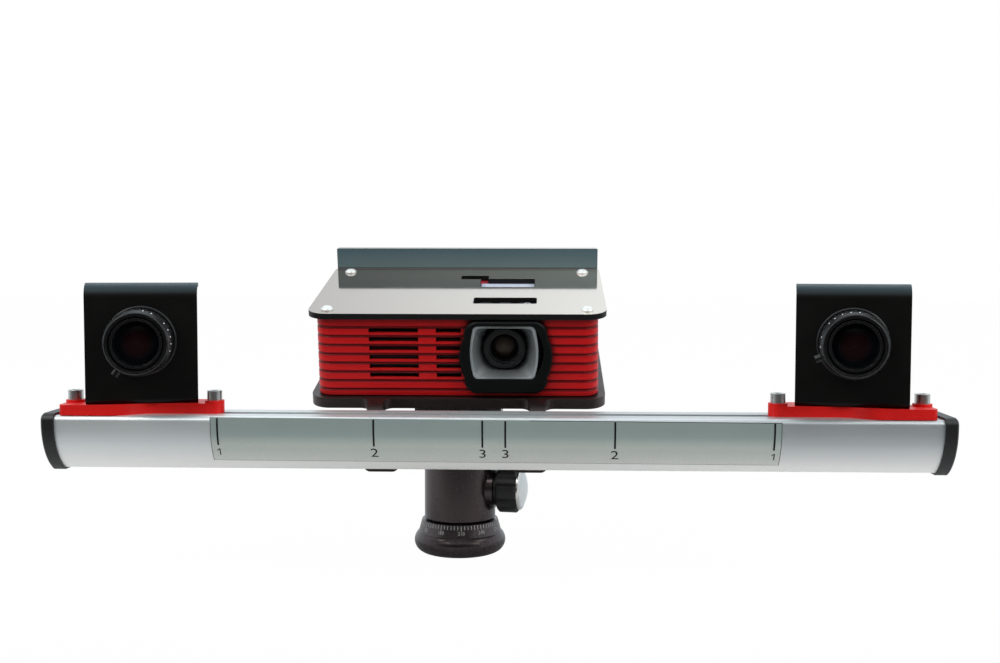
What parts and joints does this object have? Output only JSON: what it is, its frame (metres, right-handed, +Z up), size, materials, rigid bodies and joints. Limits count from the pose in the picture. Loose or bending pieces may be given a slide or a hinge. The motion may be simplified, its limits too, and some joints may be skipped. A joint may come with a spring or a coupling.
{
  "type": "desktop 3d scanner",
  "caption": "Structured-light scanner: a projector between two plates on a ball head, with a rail in front that carries sliding toed-in camera modules.",
  "frame": {"origin": "mouth of the tripod socket under the ball head, on the pan axis", "axes": "+X along the rail to the right as seen from the front, -Y to the front, where the lenses look, +Z up"},
  "size_m": [0.5146, 0.1921, 0.196],
  "materials": {
    "black_metal": "black anodised, satin",
    "dial_metal": "black anodised with pale graduations",
    "rubber_grip": "fluted rubber",
    "bright_metal": "turned and polished",
    "pale_cap": "glossy domed cap",
    "ball_metal": "turned, satin",
    "nylon": "moulded nylon",
    "plate_black": "black anodised, smooth",
    "sheet_black": "semi-gloss black coating",
    "bracket_black": "satin black coating",
    "rail_grey": "light grey satin coating",
    "cap_black": "moulded, fine grain",
    "case_red": "moulded, semi-matt red",
    "carriage_red": "printed, satin red",
    "inner_black": "moulded black",
    "hood_black": "semi-gloss black",
    "funnel_silver": "silver grey, fine grain",
    "lens_black": "black anodised",
    "optic_glass": "coated optical glass",
    "camera_black": "black anodised",
    "screw_steel": "plated steel",
    "cast_aluminium": "die cast",
    "key_grey": "moulded",
    "port_black": "moulded black"
  },
  "bodies": {
    "base": {"base_ring": "black_metal", "scale_ring": "dial_metal", "pan_spindle": "ball_metal"},
    "housing": {"ball_housing": "black_metal", "ball_seat": "nylon"},
    "lock_knob": {"lock_knob_grip": "rubber_grip", "lock_knob_trim": "bright_metal", "lock_knob_cap": "pale_cap"},
    "pan_knob": {"pan_lock_knob": "rubber_grip"},
    "ball": {"ball": "ball_metal"},
    "clamp": {"ball_stem": "ball_metal", "clamp_base": "black_metal"},
    "clamp_jaw": {"clamp_jaw": "black_metal"},
    "clamp_knob": {"clamp_knob": "rubber_grip"},
    "sensor_head": {"quick_plate": "black_metal", "quick_plate_screw": "screw_steel", "base_plate": "plate_black", "rail_fixings": "screw_steel", "rail": "rail_grey", "end_cap_left": "cap_black", "end_cap_right": "cap_black", "case_shell": "case_red", "case_floor": "inner_black", "vent_louvres": "inner_black", "light_engine": "cast_aluminium", "rear_panel": "port_black", "case_posts": "screw_steel", "top_plate": "sheet_black", "plate_screws": "screw_steel", "lens_hood": "hood_black", "lens_funnel": "funnel_silver", "lens_barrel": "lens_black", "projector_lens": "optic_glass", "keypad_panel": "inner_black"},
    "focus_sector": {"focus_sector": "hood_black"},
    "key_1": {"key_1": "key_grey"},
    "key_2": {"key_2": "key_grey"},
    "key_3": {"key_3": "key_grey"},
    "camera_left": {"carriage_left": "carriage_red", "carriage_fixings_left": "screw_steel", "camera_bracket_left": "bracket_black", "camera_body_left": "camera_black", "lens_body_left": "lens_black", "lens_glass_left": "optic_glass"},
    "iris_ring_left": {"iris_ring_left": "lens_black"},
    "focus_ring_left": {"focus_ring_left": "lens_black"},
    "lens_lock_left": {"lens_lock_left": "lens_black"},
    "camera_right": {"carriage_right": "carriage_red", "carriage_fixings_right": "screw_steel", "camera_bracket_right": "bracket_black", "camera_body_right": "camera_black", "lens_body_right": "lens_black", "lens_glass_right": "optic_glass"},
    "iris_ring_right": {"iris_ring_right": "lens_black"},
    "focus_ring_right": {"focus_ring_right": "lens_black"},
    "lens_lock_right": {"lens_lock_right": "lens_black"}
  },
  "joints": [
    {"name": "pan", "type": "hinge", "parent": "base", "child": "housing", "pos_m": [0, 0, 0], "axis": [0, 0, 1], "continuous": true},
    {"name": "lock_knob_turn", "type": "hinge", "parent": "housing", "child": "lock_knob", "pos_m": [0, 0, 0.0414], "axis": [0.9848, -0.1736, 0], "range_deg": [-30, 90]},
    {"name": "pan_knob_turn", "type": "hinge", "parent": "housing", "child": "pan_knob", "pos_m": [0, 0, 0.0284], "axis": [0.1736, 0.9848, 0], "range_deg": [-30, 90]},
    {"name": "ball_tilt", "type": "hinge", "parent": "housing", "child": "ball", "pos_m": [0, 0, 0.05425], "axis": [1, 0, 0], "range_deg": [-40, 16]},
    {"name": "ball_side_tilt", "type": "hinge", "parent": "ball", "child": "clamp", "pos_m": [0, 0, 0.05425], "axis": [0, 0.9728, 0.2317], "range_deg": [-18, 18]},
    {"name": "jaw_slide", "type": "slide", "parent": "clamp", "child": "clamp_jaw", "axis": [1, 0, 0], "range_m": [0, 0.0016]},
    {"name": "clamp_knob_turn", "type": "hinge", "parent": "clamp_jaw", "child": "clamp_knob", "pos_m": [0.0273, -0.00672, 0.08246], "axis": [1, 0, 0], "range_deg": [0, 720]},
    {"name": "plate_slide", "type": "slide", "parent": "clamp", "child": "sensor_head", "axis": [0, 0.9728, 0.2317], "range_m": [-0.006, 0.006]},
    {"name": "projector_focus", "type": "hinge", "parent": "sensor_head", "child": "focus_sector", "pos_m": [0.0298, -0.0523, 0.13184], "axis": [0, -0.9728, -0.2317], "range_deg": [-12, 10]},
    {"name": "key_1_press", "type": "slide", "parent": "sensor_head", "child": "key_1", "axis": [0, 0.2317, -0.9728], "range_m": [0, 0.0008], "stiffness_N_per_m": 400, "springref_m": -0.0005},
    {"name": "key_2_press", "type": "slide", "parent": "sensor_head", "child": "key_2", "axis": [0, 0.2317, -0.9728], "range_m": [0, 0.0008], "stiffness_N_per_m": 400, "springref_m": -0.0005},
    {"name": "key_3_press", "type": "slide", "parent": "sensor_head", "child": "key_3", "axis": [0, 0.2317, -0.9728], "range_m": [0, 0.0008], "stiffness_N_per_m": 400, "springref_m": -0.0005},
    {"name": "camera_left_slide", "type": "slide", "parent": "sensor_head", "child": "camera_left", "axis": [1, 0, 0], "range_m": [0, 0.058]},
    {"name": "iris_left_turn", "type": "hinge", "parent": "camera_left", "child": "iris_ring_left", "pos_m": [-0.1762, -0.08955, 0.14076], "axis": [0.2164, -0.9763, 0], "range_deg": [-45, 45]},
    {"name": "focus_left_turn", "type": "hinge", "parent": "camera_left", "child": "focus_ring_left", "pos_m": [-0.1762, -0.08955, 0.14076], "axis": [0.2164, -0.9763, 0], "range_deg": [-120, 120]},
    {"name": "lens_lock_left_turn", "type": "hinge", "parent": "focus_ring_left", "child": "lens_lock_left", "pos_m": [-0.18023, -0.10848, 0.12929], "axis": [-0.56, -0.1241, -0.8192], "range_deg": [-90, 90]},
    {"name": "camera_right_slide", "type": "slide", "parent": "sensor_head", "child": "camera_right", "axis": [-1, 0, 0], "range_m": [0, 0.106]},
    {"name": "iris_right_turn", "type": "hinge", "parent": "camera_right", "child": "iris_ring_right", "pos_m": [0.2262, -0.08955, 0.14076], "axis": [-0.1994, -0.9799, 0], "range_deg": [-45, 45]},
    {"name": "focus_right_turn", "type": "hinge", "parent": "camera_right", "child": "focus_ring_right", "pos_m": [0.2262, -0.08955, 0.14076], "axis": [-0.1994, -0.9799, 0], "range_deg": [-120, 120]},
    {"name": "lens_lock_right_turn", "type": "hinge", "parent": "focus_ring_right", "child": "lens_lock_right", "pos_m": [0.20997, -0.10421, 0.13551], "axis": [-0.9086, 0.1849, -0.3746], "range_deg": [-90, 90]}
  ],
  "couplings": [
    {"joint": "clamp_knob_turn", "follows": "jaw_slide", "rad_per_m": 7853.9}
  ]
}
